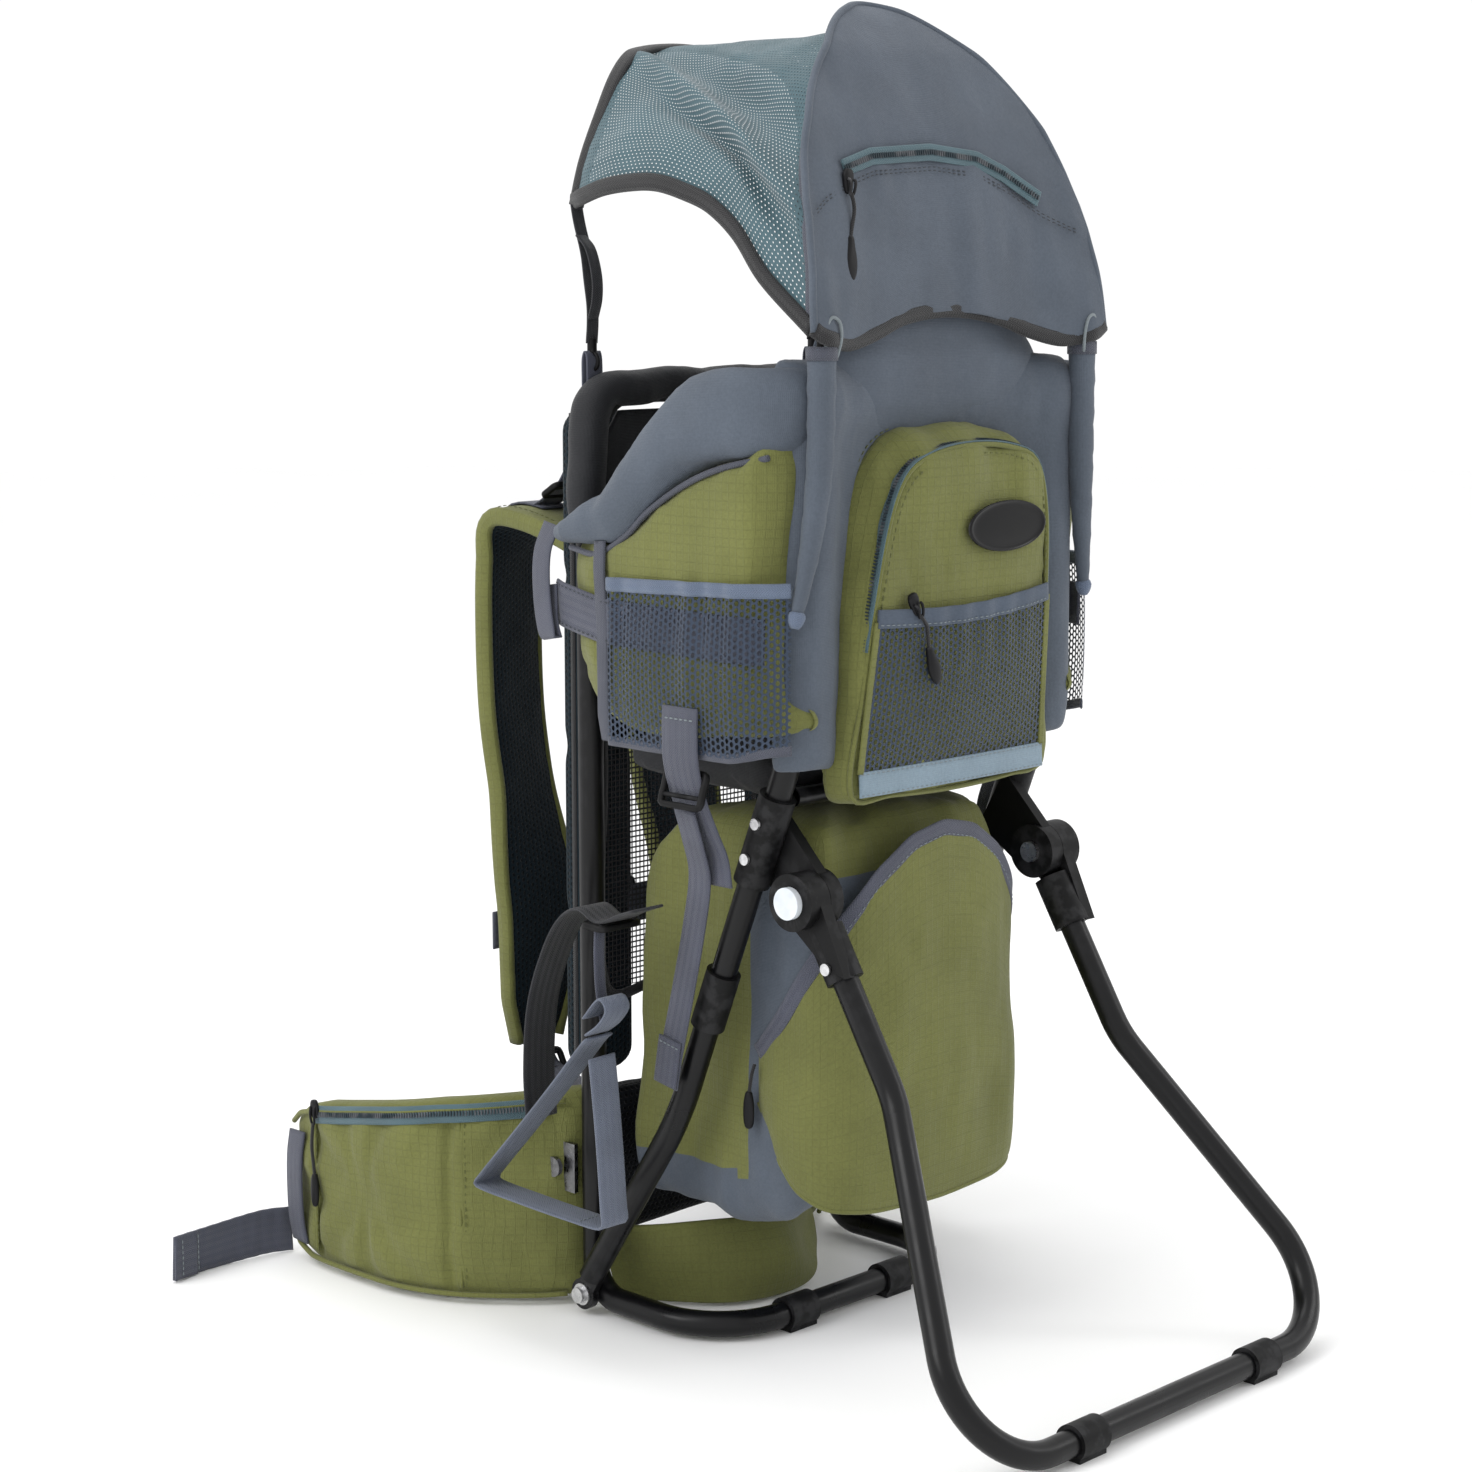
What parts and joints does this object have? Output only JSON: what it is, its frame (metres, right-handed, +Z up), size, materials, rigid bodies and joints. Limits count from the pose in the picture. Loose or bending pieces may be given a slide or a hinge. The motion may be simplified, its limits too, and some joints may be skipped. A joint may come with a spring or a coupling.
{
  "type": "baby carrier backpack",
  "caption": "Child-carrying hiking pack on a tube frame with a fold-out rear stand, padded seat, cargo bag, harness and sun canopy.",
  "frame": {"origin": "centre of the whole object's box, on the floor it stands on", "axes": "+Z up; +Y towards the wearer's side; X across the pack"},
  "size_m": [0.5442, 0.6239, 0.812],
  "materials": {
    "frame_paint": "satin black powder coat",
    "black_plastic": "fine matt moulded plastic",
    "badge_plastic": "blank gloss oval",
    "steel": "zinc plated steel",
    "button_white": "satin white",
    "olive_fabric": "ripstop nylon",
    "slate_fabric": "plain weave polyester",
    "air_mesh": "spacer mesh",
    "window_mesh": "open square mesh",
    "visor_mesh": "open teal mesh",
    "pocket_mesh": "open diamond mesh",
    "black_fabric": "black lining",
    "webbing": "woven webbing"
  },
  "bodies": {
    "pack": {"main_frame": "frame_paint", "brace_left": "frame_paint", "brace_right": "frame_paint", "brace_ferrules": "black_plastic", "seat_crossbar": "frame_paint", "hinge_bracket_left": "black_plastic", "hinge_bracket_right": "black_plastic", "hinge_pins": "steel", "bracket_rivets": "steel", "frame_bolts": "steel", "front_foot_clips": "black_plastic", "lumbar_bolts": "steel", "back_pads": "air_mesh", "back_mesh": "window_mesh", "back_panel": "black_fabric", "lumbar_pad": "air_mesh", "seat_side_left": "olive_fabric", "seat_side_right": "olive_fabric", "seat_collar": "slate_fabric", "seat_rear": "slate_fabric", "seat_saddle": "black_fabric", "side_pockets": "pocket_mesh", "rear_pocket": "olive_fabric", "rear_mesh_pocket": "pocket_mesh", "badge": "badge_plastic", "cargo_bag": "slate_fabric", "cargo_pocket": "olive_fabric", "side_straps": "webbing", "ladder_locks": "black_plastic", "stirrup_left": "webbing", "stirrup_right": "webbing", "shoulder_strap_left": "olive_fabric", "shoulder_strap_right": "olive_fabric", "shoulder_webbing": "webbing", "load_lifters": "webbing", "hip_wing_left": "olive_fabric", "hip_wing_right": "olive_fabric", "belt_tail_left": "webbing", "belt_tail_right": "webbing", "belt_buckle": "black_plastic", "pole_sleeves": "slate_fabric", "hook_loops": "webbing", "canopy_hooks": "black_plastic"},
    "stand": {"stand_tube": "frame_paint", "socket_left": "black_plastic", "socket_right": "black_plastic", "socket_screws": "steel", "rear_foot_clips": "black_plastic"},
    "canopy": {"canopy_panel": "slate_fabric", "canopy_visor": "visor_mesh", "canopy_rods": "black_plastic", "canopy_straps": "webbing"},
    "chest": {"chest_strap": "webbing", "chest_buckle": "black_plastic"},
    "button_left": {"press_button_left": "button_white"},
    "button_right": {"press_button_right": "button_white"},
    "hip_slider_left": {"hip_zip_slider_left": "black_plastic"},
    "hip_slider_right": {"hip_zip_slider_right": "black_plastic"},
    "rear_pull": {"rear_zip_pull": "black_plastic"},
    "canopy_pull": {"canopy_zip_pull": "black_plastic"}
  },
  "joints": [
    {"name": "stand_fold", "type": "hinge", "parent": "pack", "child": "stand", "pos_m": [0, -0.1135, 0.293], "axis": [1, 0, 0], "range_deg": [0, 59]},
    {"name": "press_left", "type": "slide", "parent": "stand", "child": "button_left", "axis": [1, 0, 0], "range_m": [0, 0.004], "stiffness_N_per_m": 500},
    {"name": "press_right", "type": "slide", "parent": "stand", "child": "button_right", "axis": [-1, 0, 0], "range_m": [0, 0.004], "stiffness_N_per_m": 500},
    {"name": "canopy_height", "type": "slide", "parent": "pack", "child": "canopy", "axis": [0, 0, 1], "range_m": [0, 0.06], "deforming": ["canopy_straps"]},
    {"name": "chest_strap_height", "type": "slide", "parent": "pack", "child": "chest", "axis": [0, 0, 1], "range_m": [-0.06, 0]},
    {"name": "hip_zip_left", "type": "slide", "parent": "pack", "child": "hip_slider_left", "axis": [0, -0.9806, 0.1961], "range_m": [0, 0.07]},
    {"name": "hip_zip_right", "type": "slide", "parent": "pack", "child": "hip_slider_right", "axis": [0, -0.9806, 0.1961], "range_m": [0, 0.07]},
    {"name": "rear_pull_swing", "type": "hinge", "parent": "pack", "child": "rear_pull", "pos_m": [-0.05, -0.1406, 0.463], "axis": [-0.9272, 0, -0.3746], "range_deg": [0, 80]},
    {"name": "canopy_pull_swing", "type": "hinge", "parent": "canopy", "child": "canopy_pull", "pos_m": [-0.08596, -0.11918, 0.7043], "axis": [-0.9903, 0, 0.1392], "range_deg": [0, 80]}
  ]
}
